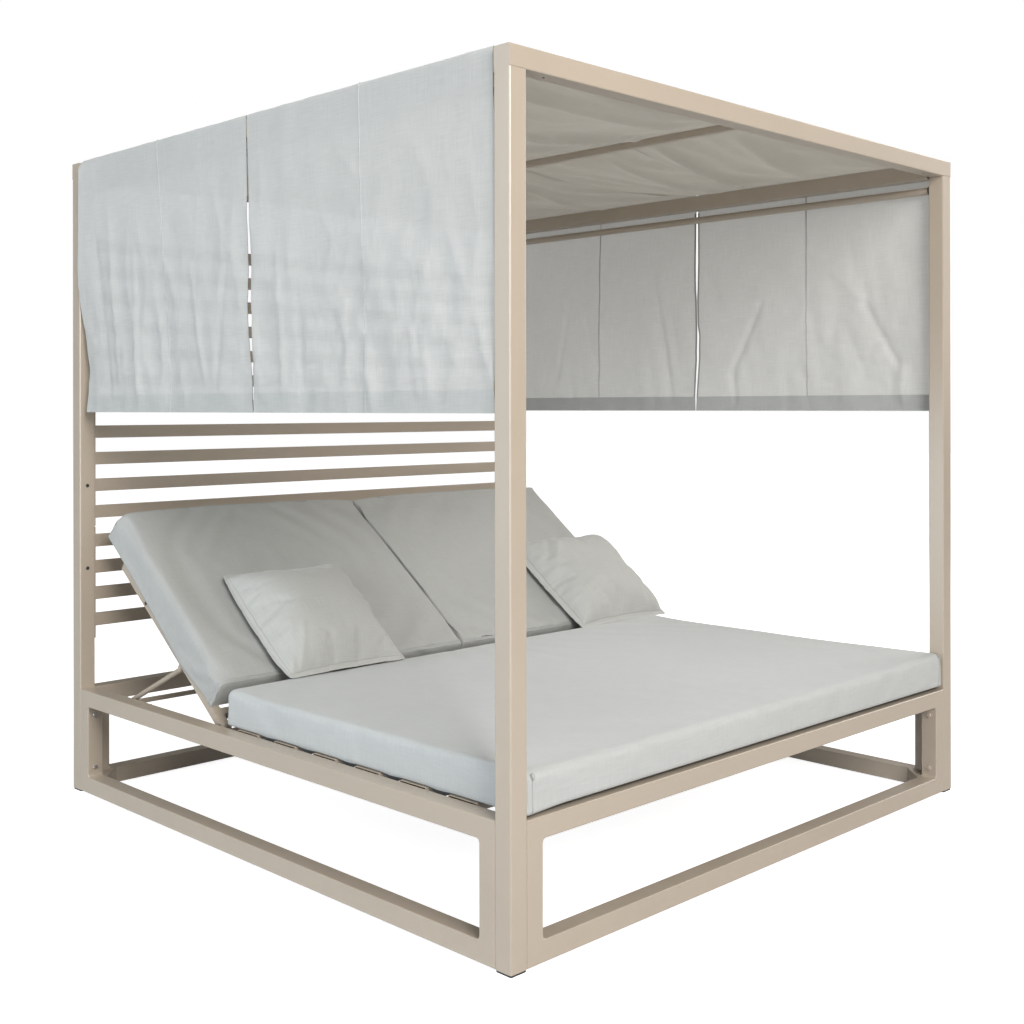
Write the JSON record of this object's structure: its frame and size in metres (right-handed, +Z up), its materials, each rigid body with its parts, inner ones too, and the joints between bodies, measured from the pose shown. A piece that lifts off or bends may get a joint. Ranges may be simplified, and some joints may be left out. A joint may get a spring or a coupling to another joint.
{
  "type": "outdoor daybed with canopy",
  "caption": "Square outdoor daybed with a square-tube aluminium frame, slatted head panel, two reclining backrests, loose cushions and a thin cloth canopy over the roof bars",
  "frame": {"origin": "bounding box bottom centre: on the ground under the middle of the bed frame", "axes": "+X along the foot end, +Y from the foot end to the head end, +Z up"},
  "size_m": [1.98, 2, 2.005],
  "materials": {
    "frame_paint": "satin",
    "black_plastic": "matte",
    "pin_steel": "brushed",
    "cushion_fabric": "woven",
    "canopy_cloth": "woven"
  },
  "bodies": {
    "bed_frame": {"post_front_left": "frame_paint", "post_front_right": "frame_paint", "post_rear_left": "frame_paint", "post_rear_right": "frame_paint", "post_glide_front_left": "black_plastic", "post_glide_front_right": "black_plastic", "post_glide_rear_left": "black_plastic", "post_glide_rear_right": "black_plastic", "foot_beam": "frame_paint", "head_beam": "frame_paint", "side_beam_left": "frame_paint", "side_beam_right": "frame_paint", "roof_bar": "frame_paint", "curtain_rod_left": "frame_paint", "curtain_rod_right": "frame_paint", "rod_socket_front_left": "black_plastic", "rod_socket_front_right": "black_plastic", "rod_socket_rear_left": "black_plastic", "rod_socket_rear_right": "black_plastic", "base_frame_foot": "frame_paint", "base_frame_head": "frame_paint", "base_frame_left": "frame_paint", "base_frame_right": "frame_paint", "corner_gusset_front_left": "frame_paint", "corner_gusset_front_right": "frame_paint", "corner_gusset_rear_left": "frame_paint", "corner_gusset_rear_right": "frame_paint", "head_panel_lower": "frame_paint", "head_panel_upper": "frame_paint", "slat_ledge_left": "frame_paint", "slat_ledge_right": "frame_paint", "centre_rail": "frame_paint", "bed_slat_1": "frame_paint", "bed_slat_2": "frame_paint", "bed_slat_3": "frame_paint", "bed_slat_4": "frame_paint", "bed_slat_5": "frame_paint", "bed_slat_6": "frame_paint", "hinge_beam": "frame_paint", "prop_rack_left": "frame_paint", "prop_rack_centre": "frame_paint", "prop_rack_right": "frame_paint", "hinge_pin_left_outer": "pin_steel", "hinge_pin_left_inner": "pin_steel", "hinge_pin_right_outer": "pin_steel", "hinge_pin_right_inner": "pin_steel", "mattress": "cushion_fabric", "canopy_front": "canopy_cloth", "canopy_rear": "canopy_cloth"},
    "backrest_left": {"backrest_frame_left": "frame_paint"},
    "prop_left": {"prop_stay_left": "frame_paint"},
    "cushion_left": {"back_cushion_left": "cushion_fabric"},
    "pillow_left": {"scatter_pillow_left": "cushion_fabric"},
    "backrest_right": {"backrest_frame_right": "frame_paint"},
    "prop_right": {"prop_stay_right": "frame_paint"},
    "cushion_right": {"back_cushion_right": "cushion_fabric"},
    "pillow_right": {"scatter_pillow_right": "cushion_fabric"}
  },
  "joints": [
    {"name": "recline_left", "type": "hinge", "parent": "bed_frame", "child": "backrest_left", "pos_m": [-0.468, 0.232, 0.3185], "axis": [1, 0, 0], "range_deg": [-36.5, 29.5]},
    {"name": "prop_pivot_left", "type": "hinge", "parent": "backrest_left", "child": "prop_left", "pos_m": [-0.468, 0.45087, 0.45309], "axis": [1, 0, 0], "range_deg": [-49, 60.5]},
    {"name": "cushion_slide_left", "type": "slide", "parent": "backrest_left", "child": "cushion_left", "axis": [0, 0.8039, 0.5948], "range_m": [-0.106, 0.086]},
    {"name": "pillow_slide_left", "type": "slide", "parent": "cushion_left", "child": "pillow_left", "axis": [0, 0.8039, 0.5948], "range_m": [-0.033, 0.04]},
    {"name": "recline_right", "type": "hinge", "parent": "bed_frame", "child": "backrest_right", "pos_m": [0.468, 0.232, 0.3185], "axis": [1, 0, 0], "range_deg": [-36.5, 29.5]},
    {"name": "prop_pivot_right", "type": "hinge", "parent": "backrest_right", "child": "prop_right", "pos_m": [0.468, 0.45087, 0.45309], "axis": [1, 0, 0], "range_deg": [-49, 60.5]},
    {"name": "cushion_slide_right", "type": "slide", "parent": "backrest_right", "child": "cushion_right", "axis": [0, 0.8039, 0.5948], "range_m": [-0.106, 0.086]},
    {"name": "pillow_slide_right", "type": "slide", "parent": "cushion_right", "child": "pillow_right", "axis": [0, 0.8039, 0.5948], "range_m": [-0.033, 0.04]}
  ],
  "couplings": [
    {"joint": "prop_pivot_left", "follows": "recline_left", "ratio": -1.64},
    {"joint": "cushion_slide_left", "follows": "recline_left", "m_per_rad": 0.162},
    {"joint": "pillow_slide_left", "follows": "recline_left", "m_per_rad": -0.058},
    {"joint": "prop_pivot_right", "follows": "recline_right", "ratio": -1.64},
    {"joint": "cushion_slide_right", "follows": "recline_right", "m_per_rad": 0.162},
    {"joint": "pillow_slide_right", "follows": "recline_right", "m_per_rad": -0.058}
  ]
}
